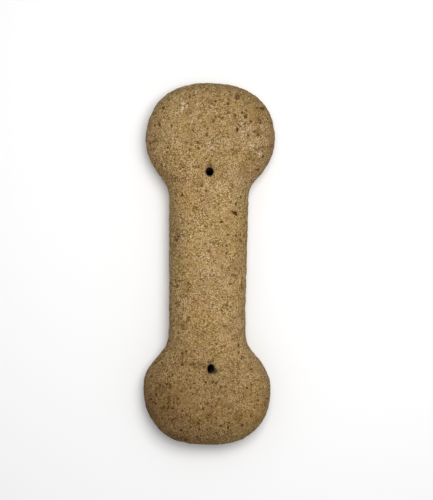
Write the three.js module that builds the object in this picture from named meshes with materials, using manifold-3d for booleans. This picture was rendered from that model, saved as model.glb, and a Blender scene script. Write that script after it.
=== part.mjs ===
// A bone-shaped dog biscuit that lies on its flat underside: one solid of baked dough.
// Two rounded knobs stand at the ends of a straight shaft. The edges are rolled over, the top is gently
// crowned, two docking holes vent the dough from top to underside, and a few open pits mark the crust.
// Millimetres, +Z up. The length runs along Y, and the origin is under the middle, on the table.
import * as THREE from "three";
import { mergeVertices } from "three/addons/utils/BufferGeometryUtils.js";
import Module from "manifold-3d";

// Driving dimensions of the outline. "Out" is towards the biscuit's end, "in" is towards its middle.
const LENGTH = 110;
const UPPER_KNOB = {
  halfWidth: 19.75,
  reachOut: 18.25,
  reachIn: 18.1,
  squarenessOut: 2.33,
  squarenessIn: 1.7,
  neckLeft: 4.1,
  neckRight: 2.1,
};
const LOWER_KNOB = {
  halfWidth: 19.45,
  reachOut: 19.0,
  reachIn: 17.4,
  squarenessOut: 2.48,
  squarenessIn: 1.5,
  neckLeft: 1.9,
  neckRight: 1.9,
};
const SHAFT = { halfWidthUpper: 12.2, halfWidthLower: 11.4, shift: -0.24 };
// Places where the edge was pressed in or swelled in the oven: a point near the edge, the push outwards
// and how far it reaches. The first is the flattened corner of the lower knob.
const EDGE_PUSHES = [
  { x: -16.2, y: -48.0, push: -0.25, reach: 3.0 },
  { x: -15.0, y: -28.2, push: -0.35, reach: 4.0 },
  { x: -12.2, y: -22.4, push: 0.2, reach: 1.8 },
  { x: -12.0, y: -17.0, push: -0.15, reach: 3.0 },
  { x: -18.3, y: 44.5, push: -0.2, reach: 3.5 },
  { x: 11.5, y: -21.5, push: 0.2, reach: 3.0 },
  { x: 11.5, y: -9.5, push: -0.15, reach: 3.5 },
  { x: 11.9, y: 9.5, push: 0.2, reach: 3.0 },
  { x: -13.6, y: 24.4, push: -0.15, reach: 2.5 },
  { x: -15.5, y: 28.0, push: 0.25, reach: 4.0 },
];

// Driving dimensions of the edge and the crown
const THICKNESS = 15;
const CROWN = 0.5;
const CROWN_REACH = 18;
const CROWN_POWER = 2;
const WIDEST_HEIGHT = 5.6;
const SHOULDER = 11;
const SHOULDER_POWER = 2.05;
const UNDER_EDGE = 3.2;
const UNDER_EDGE_POWER = 2;

// Docking holes: where each opens on the top, how far it has wandered at the underside, its radius on the
// top and at the underside, and its stretch along Y
const DOCKING_HOLES = [
  { x: -0.05, y: 27.6, wanderX: 0, wanderY: -1.4, radius: 1.12, radiusBelow: 0.72, stretch: 1.05 },
  { x: 0.9, y: -31.35, wanderX: -1.3, wanderY: 0.6, radius: 0.85, radiusBelow: 0.7, stretch: 1.5 },
];
const HOLE_SIDES = 24;
// The soft lip round a docking hole: how far out from its wall, and how far over the crust
const LIP_PROFILE = [
  { out: 0, over: -1.2 },
  { out: 0.09, over: -0.6 },
  { out: 0.34, over: -0.19 },
  { out: 0.98, over: 0.09 },
];
// How far a cutting shape stands out past the dough, so that it cuts cleanly
const CUT_CLEAR = 2;

// Open pits: where each lies on the top, its radius and its stretch along Y. The last is the torn ledge
// beside the lower docking hole.
const PITS = [
  { x: 7.7, y: 15.3, radius: 0.85, stretch: 0.85 },
  { x: 8.1, y: 40.3, radius: 0.5, stretch: 1.6 },
  { x: 10.3, y: 42.0, radius: 0.5, stretch: 1.3 },
  { x: -7.6, y: -27.6, radius: 0.45, stretch: 2.4 },
  { x: 9.3, y: -24.4, radius: 0.5, stretch: 1.6 },
  { x: 6.4, y: -48.9, radius: 0.5, stretch: 1.6 },
  { x: 2.15, y: -31.8, radius: 0.65, stretch: 1.4 },
];
const PIT_DEPTH_PER_RADIUS = 1.3;
const PIT_SINK_PER_RADIUS = 0.3;

// Relief of the baked crust, which fades in over a height so that the underside stays flat
const LUMP_HEIGHT = 0.2;
const LUMP_SPACING = 9;
const RIPPLE_HEIGHT = 0.08;
const RIPPLE_SPACING = 3.2;
const RELIEF_STARTS_AT = 0.2;
const RELIEF_FULL_AT = 2;
const SEED = 41;

// How finely the skin is divided: across and along the crown, and up the rolled edge
const CELLS_ACROSS = 14;
const CELLS_ALONG = 64;
const EDGE_ROWS_BELOW = 5;
const EDGE_ROWS_ABOVE = 8;
const EDGE_ROWS = EDGE_ROWS_BELOW + EDGE_ROWS_ABOVE;
const EDGE_DEPTH = 6;
const PERIMETER_CELLS = 2 * (CELLS_ACROSS + CELLS_ALONG);
const OUTLINE_SAMPLES = 720;
const OUTLINE_EVENINGS = 1;
const DENSE_OUTLINE_EVENINGS = 5;
const DIRECTION_EVENINGS = 3;
const WELD_DISTANCE = 1e-4;

const CRUST_COLOUR = 0xa48657;

const UPPER_Y = LENGTH / 2 - UPPER_KNOB.reachOut;
const LOWER_Y = LOWER_KNOB.reachOut - LENGTH / 2;

const wasm = await Module();
wasm.setup();

// A quarter of a superellipse: 1 at share 0, and 0 at share 1.
function roundedFall(share, power) {
  return (1 - THREE.MathUtils.clamp(share, 0, 1) ** power) ** (1 / power);
}

// The larger of two values, with a fillet where they cross.
function smoothMax(a, b, blend) {
  const overlap = Math.max(blend - Math.abs(a - b), 0) / blend;
  return Math.max(a, b) + (overlap * overlap * blend) / 4;
}

// Half the width of a knob at a distance from its widest line, positive towards the biscuit's end.
function knobHalfWidth(knob, outward) {
  return outward > 0
    ? knob.halfWidth * roundedFall(outward / knob.reachOut, knob.squarenessOut)
    : knob.halfWidth * roundedFall(-outward / knob.reachIn, knob.squarenessIn);
}

// Half the biscuit's width at y, on its left (side -1) or its right (side 1).
function halfWidth(y, side) {
  const upperHalf = y > 0;
  const knob = upperHalf ? UPPER_KNOB : LOWER_KNOB;
  const outward = upperHalf ? y - UPPER_Y : LOWER_Y - y;
  const atKnob = knobHalfWidth(knob, outward);
  if (outward > 0) return atKnob;
  const along = (y - LOWER_Y) / (UPPER_Y - LOWER_Y);
  const atShaft =
    THREE.MathUtils.lerp(SHAFT.halfWidthLower, SHAFT.halfWidthUpper, along) +
    side * SHAFT.shift;
  return smoothMax(atKnob, atShaft, side < 0 ? knob.neckLeft : knob.neckRight);
}

// How far the pushes move the outline at a point.
function edgePush(x, y) {
  return EDGE_PUSHES.reduce((sum, p) => {
    const distance = Math.hypot(x - p.x, y - p.y) / p.reach;
    return sum + p.push * Math.exp(-distance * distance);
  }, 0);
}

// The outline as a closed curve, anticlockwise from the middle of the lower end.
function outlineCurve() {
  const points = [];
  for (let n = 0; n < OUTLINE_SAMPLES; n++) {
    const turn = (2 * Math.PI * n) / OUTLINE_SAMPLES;
    const side = turn <= Math.PI ? 1 : -1;
    const y = (-LENGTH / 2) * Math.cos(turn);
    const x = side * halfWidth(y, side);
    points.push(new THREE.Vector3(x + side * edgePush(x, y), y, 0));
  }
  return new THREE.CatmullRomCurve3(points, true, "centripetal");
}

// Each value averaged with its neighbours round the outline, a number of times.
function evenedOut(vectors, times) {
  let current = vectors;
  for (let pass = 0; pass < times; pass++) {
    current = current.map((v, n) => {
      const before = current[(n + current.length - 1) % current.length];
      const after = current[(n + 1) % current.length];
      return before.clone().add(after).addScaledVector(v, 2).multiplyScalar(0.25);
    });
  }
  return current;
}

const curve = outlineCurve();
const outline = evenedOut(
  curve.getSpacedPoints(PERIMETER_CELLS).slice(0, -1),
  OUTLINE_EVENINGS,
);
const denseOutline = evenedOut(
  curve.getSpacedPoints(OUTLINE_SAMPLES).slice(0, -1),
  DENSE_OUTLINE_EVENINGS,
);
const inwardDirections = evenedOut(
  outline.map((_, n) => {
    const before = outline[(n + outline.length - 1) % outline.length];
    const after = outline[(n + 1) % outline.length];
    return new THREE.Vector3(before.y - after.y, after.x - before.x, 0).normalize();
  }),
  DIRECTION_EVENINGS,
).map((direction) => direction.normalize());

// The place in plan at a depth inside the outline.
function insideOutline(index, depth) {
  const n = ((index % outline.length) + outline.length) % outline.length;
  return outline[n].clone().addScaledVector(inwardDirections[n], depth);
}

// The distance in plan from the outline.
function depthInside(point) {
  return Math.min(
    ...denseOutline.map((edge) => Math.hypot(point.x - edge.x, point.y - edge.y)),
  );
}

// Height of the top at a depth inside the outline.
function topHeight(depth) {
  const crown = CROWN * roundedFall(1 - depth / CROWN_REACH, CROWN_POWER);
  const shoulder = roundedFall(1 - depth / SHOULDER, SHOULDER_POWER);
  return WIDEST_HEIGHT + (THICKNESS - CROWN - WIDEST_HEIGHT) * shoulder + crown;
}

// Height of the underside at a depth inside the outline.
function undersideHeight(depth) {
  return WIDEST_HEIGHT * (1 - roundedFall(1 - depth / UNDER_EDGE, UNDER_EDGE_POWER));
}

// A repeatable random number from 0 to 1 for each point of an integer grid.
function gridRandom(x, y, z) {
  let h = SEED + Math.imul(x, 374761393) + Math.imul(y, 668265263) + Math.imul(z, 1274126177);
  h = Math.imul(h ^ (h >>> 13), 1103515245);
  h ^= h >>> 16;
  return (h >>> 0) / 4294967296;
}

// Smooth noise from -1 to 1, with the given spacing between its lumps.
function noise(point, spacing) {
  const scaled = point.clone().divideScalar(spacing);
  const cell = scaled.clone().floor();
  const t = scaled.sub(cell);
  const [ex, ey, ez] = [t.x, t.y, t.z].map((v) => v * v * (3 - 2 * v));
  let sum = 0;
  for (const [dx, wx] of [[0, 1 - ex], [1, ex]]) {
    for (const [dy, wy] of [[0, 1 - ey], [1, ey]]) {
      for (const [dz, wz] of [[0, 1 - ez], [1, ez]]) {
        sum += wx * wy * wz * gridRandom(cell.x + dx, cell.y + dy, cell.z + dz);
      }
    }
  }
  return 2 * sum - 1;
}

// How far the crust stands out at a point. The underside stays flat where it rests.
function relief(point) {
  const lumps = LUMP_HEIGHT * noise(point, LUMP_SPACING);
  const ripples = RIPPLE_HEIGHT * noise(point, RIPPLE_SPACING);
  const fade = THREE.MathUtils.smoothstep(point.z, RELIEF_STARTS_AT, RELIEF_FULL_AT);
  return (lumps + ripples) * fade;
}

// Which cell of the perimeter a corner of the box's grid lies on.
function perimeterIndex(i, j) {
  if (j === 0) return i - CELLS_ACROSS / 2;
  if (i === CELLS_ACROSS) return CELLS_ACROSS / 2 + j;
  if (j === CELLS_ALONG) return CELLS_ACROSS / 2 + CELLS_ALONG + (CELLS_ACROSS - i);
  return CELLS_ACROSS / 2 + CELLS_ALONG + CELLS_ACROSS + (CELLS_ALONG - j);
}

// The depth and height of each row of the rolled edge, from under the biscuit up to its crown.
function edgeRow(row) {
  if (row <= EDGE_ROWS_BELOW) {
    const turn = (row - 1) / (EDGE_ROWS_BELOW - 1);
    const depth = row === 0 ? EDGE_DEPTH : UNDER_EDGE * (1 - Math.sin((turn * Math.PI) / 2));
    return { depth, height: undersideHeight(depth) };
  }
  const lastTurn = Math.acos(1 - EDGE_DEPTH / SHOULDER);
  const turn = (lastTurn * (row - EDGE_ROWS_BELOW)) / EDGE_ROWS_ABOVE;
  const depth = SHOULDER * (1 - Math.cos(turn));
  return { depth, height: topHeight(depth) };
}

// A place in plan inside the rolled edge, blended from the four stretches of the edge around it.
function insideEdge(i, j) {
  const u = i / CELLS_ACROSS;
  const v = j / CELLS_ALONG;
  const at = (a, b) => insideOutline(perimeterIndex(a, b), EDGE_DEPTH);
  const corners = [
    [0, 0, (1 - u) * (1 - v)],
    [1, 0, u * (1 - v)],
    [0, 1, (1 - u) * v],
    [1, 1, u * v],
  ];
  const place = new THREE.Vector3()
    .addScaledVector(at(i, 0), 1 - v)
    .addScaledVector(at(i, CELLS_ALONG), v)
    .addScaledVector(at(0, j), 1 - u)
    .addScaledVector(at(CELLS_ACROSS, j), u);
  for (const [a, b, weight] of corners) {
    place.addScaledVector(at(a * CELLS_ACROSS, b * CELLS_ALONG), -weight);
  }
  return place;
}

// Only the positions of a geometry, with shared corners joined.
function welded(geometry) {
  geometry.deleteAttribute("normal");
  geometry.deleteAttribute("uv");
  return mergeVertices(geometry, WELD_DISTANCE);
}

// The dough: a box whose sides become the rolled edge and whose faces become crown and underside.
function doughGeometry() {
  const box = welded(
    new THREE.BoxGeometry(1, 1, 1, CELLS_ACROSS, CELLS_ALONG, EDGE_ROWS),
  );
  const position = box.getAttribute("position");
  for (let n = 0; n < position.count; n++) {
    const i = Math.round((position.getX(n) + 0.5) * CELLS_ACROSS);
    const j = Math.round((position.getY(n) + 0.5) * CELLS_ALONG);
    const row = Math.round((position.getZ(n) + 0.5) * EDGE_ROWS);
    const onEdge = i === 0 || j === 0 || i === CELLS_ACROSS || j === CELLS_ALONG;
    if (onEdge) {
      const { depth, height } = edgeRow(row);
      const place = insideOutline(perimeterIndex(i, j), depth);
      position.setXYZ(n, place.x, place.y, height);
    } else {
      const place = insideEdge(i, j);
      const depth = depthInside(place);
      position.setXYZ(n, place.x, place.y, row === 0 ? undersideHeight(depth) : topHeight(depth));
    }
  }
  box.computeVertexNormals();
  const normal = box.getAttribute("normal");
  for (let n = 0; n < position.count; n++) {
    const point = new THREE.Vector3().fromBufferAttribute(position, n);
    const outward = new THREE.Vector3().fromBufferAttribute(normal, n);
    point.addScaledVector(outward, relief(point));
    position.setXYZ(n, point.x, point.y, point.z);
  }
  box.deleteAttribute("normal");
  box.computeBoundingBox();
  const { min, max } = box.boundingBox;
  return box.translate(-(min.x + max.x) / 2, -(min.y + max.y) / 2, -min.z);
}

// Height of the crown at a place in plan.
function crownAt(x, y) {
  const place = new THREE.Vector3(x, y, 0);
  place.z = topHeight(depthInside(place));
  return place.z + relief(place);
}

// A docking pin with a soft lip at the crust, long enough to pass right through.
function dockingPin(hole) {
  const top = crownAt(hole.x, hole.y);
  const lip = LIP_PROFILE.map(({ out, over }) => [hole.radius + out, top + over]);
  const widest = lip[lip.length - 1][0];
  const profile = [
    [0, -CUT_CLEAR],
    [hole.radiusBelow, -CUT_CLEAR],
    [hole.radiusBelow, 0],
    ...lip,
    [widest, top + CUT_CLEAR],
    [0, top + CUT_CLEAR],
  ].map(([radius, height]) => new THREE.Vector2(radius, height));
  const lean = new THREE.Matrix4().makeShear(
    0,
    0,
    0,
    0,
    -hole.wanderX / top,
    -hole.wanderY / top,
  );
  return new THREE.LatheGeometry(profile, HOLE_SIDES)
    .rotateX(Math.PI / 2)
    .scale(1, hole.stretch, 1)
    .translate(0, 0, -top)
    .applyMatrix4(lean)
    .translate(hole.x, hole.y, top);
}

// A small open pit, a little deeper than it is wide.
function pitGeometry(pit) {
  const turn = Math.PI * gridRandom(Math.round(pit.x), Math.round(pit.y), 1);
  const sink = PIT_SINK_PER_RADIUS * pit.radius;
  return new THREE.IcosahedronGeometry(pit.radius, 1)
    .rotateZ(turn)
    .scale(1, pit.stretch, PIT_DEPTH_PER_RADIUS)
    .translate(pit.x, pit.y, crownAt(pit.x, pit.y) - sink);
}

function solidOf(geometry) {
  const mesh = welded(geometry);
  return new wasm.Manifold(
    new wasm.Mesh({
      numProp: 3,
      vertProperties: new Float32Array(mesh.getAttribute("position").array),
      triVerts: new Uint32Array(mesh.index.array),
    }),
  );
}

function geometryOf(solid) {
  const mesh = solid.getMesh();
  const geometry = new THREE.BufferGeometry();
  geometry.setAttribute("position", new THREE.BufferAttribute(mesh.vertProperties, 3));
  geometry.setIndex(new THREE.BufferAttribute(mesh.triVerts, 1));
  geometry.computeVertexNormals();
  return geometry;
}

let biscuit = solidOf(doughGeometry());
for (const hole of DOCKING_HOLES) biscuit = biscuit.subtract(solidOf(dockingPin(hole)));
for (const pit of PITS) biscuit = biscuit.subtract(solidOf(pitGeometry(pit)));

const crust = new THREE.MeshStandardMaterial({
  color: CRUST_COLOUR,
  roughness: 0.9,
  metalness: 0,
});
const mesh = new THREE.Mesh(geometryOf(biscuit), crust);
mesh.name = "biscuit";

const group = new THREE.Group();
group.add(mesh);
export default group;
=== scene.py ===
"""A bone-shaped dog biscuit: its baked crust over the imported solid, and a plain studio table under it."""

import math

import bmesh
import bpy
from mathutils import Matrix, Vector


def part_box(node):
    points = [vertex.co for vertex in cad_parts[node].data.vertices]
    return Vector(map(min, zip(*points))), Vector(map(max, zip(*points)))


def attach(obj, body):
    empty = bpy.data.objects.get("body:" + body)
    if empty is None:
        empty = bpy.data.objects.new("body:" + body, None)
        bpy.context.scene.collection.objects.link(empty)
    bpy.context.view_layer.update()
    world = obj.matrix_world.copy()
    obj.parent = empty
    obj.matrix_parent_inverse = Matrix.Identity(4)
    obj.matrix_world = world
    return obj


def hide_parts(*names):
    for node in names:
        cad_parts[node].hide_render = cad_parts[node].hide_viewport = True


bl_info = {
    "name": "Bone Biscuit",
    "version": (1, 0, 0),
    "blender": (4, 5, 0),
    "location": "View3D > Sidebar > Biscuit",
    "description": "Models a baked bone-shaped dog biscuit and the table it lies on",
    "category": "Add Mesh",
}

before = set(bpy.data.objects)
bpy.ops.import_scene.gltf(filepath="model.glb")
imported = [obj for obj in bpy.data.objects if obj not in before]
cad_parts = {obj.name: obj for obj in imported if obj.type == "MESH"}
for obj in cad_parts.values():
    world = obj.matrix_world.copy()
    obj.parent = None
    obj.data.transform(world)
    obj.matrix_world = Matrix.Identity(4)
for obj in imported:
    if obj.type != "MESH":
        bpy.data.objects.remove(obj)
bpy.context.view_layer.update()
CAD_NODE = "biscuit"
MM = 0.001

# The cage's cross-sections from the middle to an end: the share of half the length, and the share of the
# way from the shaft's width to the knob's width
CAGE_SECTIONS = (
    (0.0, 0.0),
    (0.17, 0.0),
    (0.34, 0.0),
    (0.46, 0.3),
    (0.57, 0.9),
    (0.69, 1.1),
    (0.81, 1.1),
    (0.92, 0.85),
    (1.0, 0.5),
)
CAGE_COLUMNS = 6
CAGE_LAYERS = 2
CAGE_LEVELS = 2
SKIN_LEVELS = 2
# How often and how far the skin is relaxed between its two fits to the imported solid
RELAX_TIMES = 3
RELAX_SHARE = 0.5
# Corners this near each other are joined, and corners this near a plane lie in it
JOIN_DISTANCE = 0.001 * MM
IN_PLANE = 0.01 * MM

# Docking holes: x and y on the crust, how far the hole has leaned at the underside, its radius on the
# crust and at the underside, and its stretch along the bone. In millimetres.
DOCKING_HOLES = (
    (-0.05, 27.6, 0.0, -1.4, 1.12, 0.72, 1.05),
    (0.9, -31.35, -1.3, 0.6, 0.85, 0.7, 1.5),
)
HOLE_CUTS = 6
# Subdividing draws the rims in to this share of their radius
RIM_SHRINKS = 0.95
# The corners of a hole's rim lie this near its middle
RIM_REACH = 4 * MM
# The skin faces up or down where its normal's height is more than this
FACING = 0.7
# Shade is painted on a hole's wall from the first depth under the crown, and it is black from the second
HOLE_SHADE_STARTS = 0.9 * MM
HOLE_SHADE_FULL = 3.2 * MM
# The painted blackness ends between these shares of the hole's radius
HOLE_DARK_ENDS = (1.2, 1.5)

# The dough pressed smooth, by the docking pins and beside the largest pit, and greyed there partly as
# painted shade in its dents: x, y, radius across and radius along in millimetres, and strength
PRESSED_PLACES = (
    (-0.05, 27.6, 1.7, 1.7, 0.7),
    (1.2, -31.4, 1.7, 2.2, 0.6),
    (8.3, 16.4, 1.0, 0.9, 0.6),
)
# How deep a pressed place is sunk, in millimetres, and how strongly it is coloured, partly as painted shade
PRESSED_DEPTH = 0.15
PRESSED_STRENGTH = 0.8

# Open pits in the crust, painted with the pores' shade colour: x, y, radius across, radius along and depth,
# in millimetres
PITS = (
    (7.7, 15.4, 0.6, 0.5, 1.1),
    (7.0, 15.8, 0.35, 0.3, 0.6),
    (8.1, 14.9, 0.4, 0.4, 0.8),
    (3.7, 12.6, 0.5, 0.4, 0.7),
    (8.1, 40.3, 0.4, 0.9, 0.5),
    (10.3, 42.0, 0.4, 0.5, 0.3),
    (8.3, 41.8, 0.3, 0.4, 0.3),
    (11.4, 38.6, 0.4, 0.4, 0.35),
    (11.9, 33.7, 0.35, 0.35, 0.3),
    (-8.2, 20.7, 0.3, 0.6, 0.35),
    (5.3, 5.5, 0.5, 0.3, 0.35),
    (6.5, -5.8, 0.45, 0.3, 0.4),
    (-6.1, -5.9, 0.35, 0.8, 0.25),
    (4.1, -13.9, 0.45, 0.35, 0.35),
    (-9.5, -12.9, 0.35, 0.35, 0.35),
    (-0.2, -18.4, 0.55, 0.55, 0.25),
    (9.3, -24.3, 0.35, 0.8, 0.35),
    (-7.55, -28.1, 0.5, 1.7, 0.2),
    (-7.5, -26.9, 0.4, 0.4, 0.4),
    (-7.6, -30.2, 0.45, 0.45, 0.4),
    (-0.5, -35.3, 0.45, 0.5, 0.3),
    (-13.6, -43.4, 0.8, 0.35, 0.2),
    (-11.5, -43.4, 0.5, 0.35, 0.2),
    (-13.3, -46.5, 0.5, 0.4, 0.25),
    (-9.8, -46.6, 0.4, 0.4, 0.25),
    (6.4, -48.9, 0.35, 0.7, 0.4),
    (15.2, -40.6, 0.5, 0.4, 0.3),
    (18.4, -38.0, 0.35, 0.5, 0.2),
)

# Dough torn beside a docking hole, sunk and painted in shade: x, y, radius across, radius along and depth,
# in millimetres
TORN_PLACES = (
    (2.25, -31.9, 0.95, 1.1, 0.25),
    (1.75, -30.75, 0.6, 0.9, 0.2),
    (-0.2, 29.4, 1.2, 1.1, 0.12),
    (-0.1, 28.8, 1.2, 0.6, 0.1),
)

# Small dark specks, as dark as pores: x, y, radius across and radius along in millimetres, and strength
DARK_SPECKS = (
    (-2.0, 20.3, 0.7, 0.35, 0.8),
    (-2.7, 18.4, 0.35, 0.45, 0.8),
    (2.1, 7.0, 0.45, 0.4, 0.7),
    (-6.5, 1.9, 0.4, 0.4, 0.7),
    (-3.0, 2.3, 0.4, 0.35, 0.8),
    (8.0, -1.2, 0.4, 0.55, 0.8),
    (9.8, -6.3, 0.4, 0.4, 0.7),
    (10.2, -3.9, 0.4, 0.4, 0.5),
    (-2.4, -3.2, 0.9, 0.4, 0.4),
    (-1.5, -6.3, 0.4, 0.4, 0.4),
    (-1.4, -14.0, 0.5, 0.35, 0.7),
    (0.9, -13.2, 0.4, 0.5, 0.6),
    (2.3, -17.1, 0.5, 0.4, 0.7),
    (5.2, -18.5, 0.7, 0.3, 0.7),
    (-2.5, -21.9, 0.7, 0.6, 0.4),
    (-8.1, -23.9, 0.45, 0.45, 0.7),
    (-11.7, -23.3, 0.4, 0.5, 0.7),
    (-2.8, -37.4, 0.4, 0.45, 0.7),
    (0.1, -41.8, 0.45, 0.55, 0.7),
    (1.4, -42.6, 0.4, 0.5, 0.6),
    (3.7, -40.1, 0.4, 0.4, 0.7),
    (7.5, -35.1, 0.45, 0.4, 0.7),
    (14.3, -42.9, 0.5, 0.35, 0.7),
    (-5.3, -46.9, 0.4, 0.4, 0.7),
    (2.4, -51.2, 0.5, 0.4, 0.6),
    (-6.5, 48.0, 0.5, 0.35, 0.8),
    (-2.5, 49.7, 0.6, 0.35, 0.6),
    (-0.1, 52.2, 0.5, 0.35, 0.6),
    (1.6, 46.3, 0.7, 0.4, 0.8),
    (-0.3, 44.4, 0.4, 0.4, 0.7),
    (3.4, 43.5, 0.8, 0.45, 0.8),
    (-6.0, 44.9, 0.45, 0.45, 0.8),
    (-3.7, 43.8, 0.45, 0.4, 0.7),
    (-13.7, -29.9, 0.43, 0.43, 0.7),
    (-9.5, -29.6, 0.35, 0.35, 0.7),
    (-3.9, -30.0, 0.35, 0.43, 0.8),
)
# A speck's rim is faint, so each is drawn this much larger than it looks
SPECK_GROWTH = 1.15
# How far specks and scattered pores take on the painted shade colour of a pore
SPECK_STRENGTH = 0.95

# Bran flecks that show on the crust: x, y, radius across and radius along in millimetres, and strength
BRAN_FLECKS = (
    (7.9, 50.1, 1.0, 1.3, 1.0),
    (13.9, 47.1, 0.7, 0.45, 0.9),
    (15.5, 46.9, 1.1, 0.7, 1.0),
    (10.8, 48.4, 0.6, 0.5, 0.7),
    (8.1, 33.9, 0.7, 0.6, 0.7),
    (-9.7, 7.0, 0.75, 0.7, 1.0),
    (-9.3, 8.5, 0.7, 0.9, 0.85),
    (-10.2, 8.0, 0.5, 0.6, 0.7),
    (-10.6, 5.2, 0.4, 1.0, 0.4),
    (9.4, 7.1, 0.5, 0.6, 0.7),
    (-5.8, -16.6, 0.6, 1.1, 0.8),
    (-11.0, -36.7, 0.45, 1.1, 1.0),
    (-12.0, -35.8, 1.2, 0.4, 1.0),
    (-13.2, -36.8, 0.8, 0.6, 0.7),
    (-15.1, -39.2, 0.7, 0.6, 0.9),
    (-9.1, -39.8, 0.5, 0.5, 0.6),
    (-16.5, 36.8, 1.3, 0.5, 0.7),
    (-3.4, 28.9, 0.7, 0.5, 0.6),
    (9.6, -38.1, 0.8, 0.7, 0.5),
    (-13.4, -37.6, 2.6, 1.8, 0.35),
    (-15.4, -41.5, 1.6, 1.8, 0.2),
    (-12.3, -43.6, 1.4, 1.2, 0.3),
)

# Places where the dough stayed golden: x, y, radius across and radius along in millimetres, and strength
GOLDEN_PATCHES = (
    (-6.5, 19.0, 7.0, 11.0, 1.0),
    (9.5, 9.0, 5.0, 12.0, 0.9),
    (-2.0, -18.0, 6.5, 11.0, 0.9),
    (8.0, -8.0, 4.0, 8.0, 0.8),
    (-5.0, 3.0, 6.0, 8.0, 0.5),
    (15.0, -44.0, 6.0, 11.0, 1.0),
    (5.0, -24.0, 8.0, 6.0, 0.7),
    (2.0, -44.0, 8.0, 9.0, 0.5),
)

# Places that stayed paler: x, y, radius across and radius along in millimetres, and strength
PALE_PATCHES = (
    (-9.6, 36.3, 4.0, 4.0, 1.0),
    (-15.0, 39.8, 4.5, 4.5, 0.4),
    (-12.8, 48.0, 4.5, 3.5, 0.8),
    (-4.0, 44.4, 5.0, 4.0, 0.8),
    (2.5, 22.3, 5.0, 4.5, 1.2),
    (8.5, 23.9, 3.0, 3.0, 0.8),
    (2.5, 16.5, 5.0, 3.5, 0.9),
    (-5.1, 12.7, 3.5, 3.5, 1.0),
    (0.6, 8.0, 3.5, 4.5, 0.8),
    (3.4, -1.2, 3.5, 3.0, 0.8),
    (1.0, -8.4, 3.5, 3.5, 0.9),
    (7.9, -15.8, 3.5, 3.5, 0.9),
    (2.1, -20.9, 4.0, 4.0, 0.6),
    (6.0, -26.0, 5.0, 3.0, 0.9),
    (-16.5, -40.8, 4.0, 4.0, 1.2),
    (-11.0, -41.5, 4.0, 2.5, 0.6),
    (-5.0, 26.8, 3.0, 3.5, 0.6),
    (11.0, 34.4, 3.5, 3.0, 0.8),
    (11.5, -26.5, 3.0, 3.0, 0.8),
    (-3.0, -41.0, 8.0, 5.0, 0.8),
    (-15.5, -37.5, 3.0, 2.5, 0.6),
)

# Darker places, some browned a little more and those on the knobs' flanks and ends painted shade: x, y,
# radius across and radius along in millimetres, and strength
BROWNED_AND_SHADED_PATCHES = (
    (-13.6, 27.8, 3.5, 5.0, 1.2),
    (14.2, 28.8, 4.0, 5.0, 1.0),
    (8.2, 41.9, 4.0, 3.0, 0.5),
    (-9.9, -9.5, 3.5, 5.5, 0.9),
    (-5.0, -13.5, 4.0, 3.0, 0.4),
    (17.0, 34.8, 3.0, 3.8, 1.1),
    (-17.0, 33.8, 3.0, 4.0, 0.7),
    (-1.9, -4.8, 3.5, 2.5, 0.6),
    (12.0, -47.7, 5.0, 4.0, 0.9),
    (14.5, -33.3, 3.0, 3.0, 0.6),
    (4.0, -53.0, 8.0, 3.0, 0.6),
    (-10.3, 9.5, 2.5, 3.5, 0.8),
    (-3.5, 9.3, 2.5, 2.5, 0.7),
    (-6.0, 20.3, 3.0, 2.5, 0.6),
    (9.0, 50.5, 6.0, 3.0, 0.7),
    (-1.4, 52.5, 5.0, 2.0, 0.7),
    (-13.0, -31.5, 3.5, 3.0, 0.7),
    (-9.5, -16.0, 3.0, 3.0, 0.6),
)

# Dry flour left on the crust: x, y, radius across and radius along in millimetres, and strength
FLOUR_MARKS = (
    (-8.1, 47.8, 0.9, 0.5, 1.0),
    (-7.0, 47.2, 1.0, 0.5, 1.0),
    (-8.3, 46.4, 0.5, 0.9, 0.9),
    (-8.5, 45.3, 0.4, 0.6, 0.8),
    (-10.0, 45.0, 0.9, 0.8, 0.7),
    (-6.0, 44.2, 0.8, 0.4, 0.9),
    (3.6, 42.8, 0.7, 0.4, 0.7),
    (1.2, 51.0, 1.2, 0.5, 0.5),
    (10.0, 40.5, 3.2, 4.0, 0.5),
    (13.0, 38.0, 4.5, 5.5, 0.45),
    (12.7, 35.9, 1.2, 0.8, 0.8),
    (15.0, 33.1, 0.9, 1.6, 0.7),
    (0.5, 35.5, 2.4, 2.0, 0.5),
    (4.0, 23.5, 3.0, 2.0, 0.4),
    (-8.0, -12.0, 2.0, 3.0, 0.4),
)

# Marks are only made above this level
UPPER_SIDE = 6 * MM
# A mark's strength ends at this share of its radius, and the waves of its edge are this many times as long
# as the edge wanders
MARK_RIM = 1.15
EDGE_WAVES = 3
# A scattered spot is full within this share of its radius, and the faintest have this strength
SPOT_CORE = 0.65
FAINTEST_SPOT = 0.45
# A crumb's edge wanders by this share of its size
CRUMB_RAGGEDNESS = 0.3

# Noises in the dough, each with a seed of its own: the distance between lumps and how much finer detail
# they have. The sizes of the first two are settings.
DOUGH_LUMPS = {"seed": 3.0}
MEAL_GRAINS = {"seed": 8.0, "detail": 1.0}
DOUGH_CLOUDS = {"size": 4.5 * MM, "seed": 14.0, "detail": 5.0, "roughness": 0.78}
MAUVE_DRIFT = {"size": 5 * MM, "seed": 21.0, "detail": 5.0, "roughness": 0.75}
BLUE_DRIFT = {"size": 6 * MM, "seed": 27.0, "detail": 5.0, "roughness": 0.8}
FLOUR_DUST = {"size": 3.5 * MM, "seed": 33.0, "detail": 4.0, "roughness": 0.65}
CONTRAST_PATCHES = {"size": 3.2 * MM, "seed": 41.0}
FINE_BUMPS = {"size": 0.35 * MM, "seed": 55.0}
# Noise mostly strays this far from its middle
NOISE_SWING = 0.25

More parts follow.
